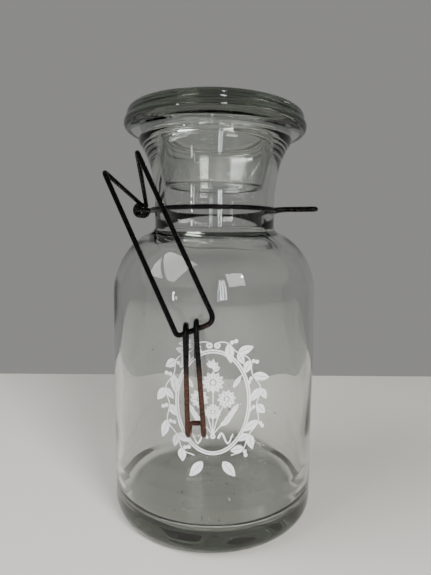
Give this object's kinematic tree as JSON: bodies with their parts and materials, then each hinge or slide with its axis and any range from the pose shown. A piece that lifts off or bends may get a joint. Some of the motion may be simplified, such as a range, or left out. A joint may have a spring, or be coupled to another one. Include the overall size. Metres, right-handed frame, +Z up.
{
  "type": "lidded glass canister",
  "caption": "Clear pressed-glass storage jar with a glass stopper lid, a wire round its neck, a bent wire bail and a hooked latch lever hanging open in front.",
  "frame": {"origin": "centre of the jar's flat underside", "axes": "+Z up along the jar's axis, -Y towards the side where the open bail hangs, +X towards the catch loop"},
  "size_m": [0.1, 0.1097, 0.1968],
  "materials": {
    "jar_glass": "clear pressed glass, faintly grey-green, small bubbles and waviness",
    "lid_glass": "thick clear pressed glass, grey-green at the rim",
    "black_wire": "blackened steel wire, satin, small rust spots",
    "rusty_wire": "blackened steel wire turning rust brown towards its lower end"
  },
  "bodies": {
    "jar": {"jar": "jar_glass"},
    "lid": {"lid": "lid_glass"},
    "neck_wire": {"neck_wire": "black_wire"},
    "bail": {"bail": "black_wire"},
    "latch_lever": {"latch_lever": "rusty_wire"}
  },
  "joints": [
    {"name": "lid_lift", "type": "slide", "parent": "jar", "child": "lid", "axis": [0, 0, 1], "range_m": [0, 0.07]},
    {"name": "neck_wire_turn", "type": "hinge", "parent": "jar", "child": "neck_wire", "pos_m": [0, 0, 0.1493], "axis": [0, 0, 1], "continuous": true},
    {"name": "bail_swing", "type": "hinge", "parent": "neck_wire", "child": "bail", "pos_m": [-0.03867, 0.01362, 0.1502], "axis": [-0.3322, -0.9432, 0], "range_deg": [0, 150]},
    {"name": "lever_swing", "type": "hinge", "parent": "bail", "child": "latch_lever", "pos_m": [-0.00869, -0.0553, 0.0996], "axis": [-0.9348, 0, -0.3552], "range_deg": [0, 110]}
  ]
}
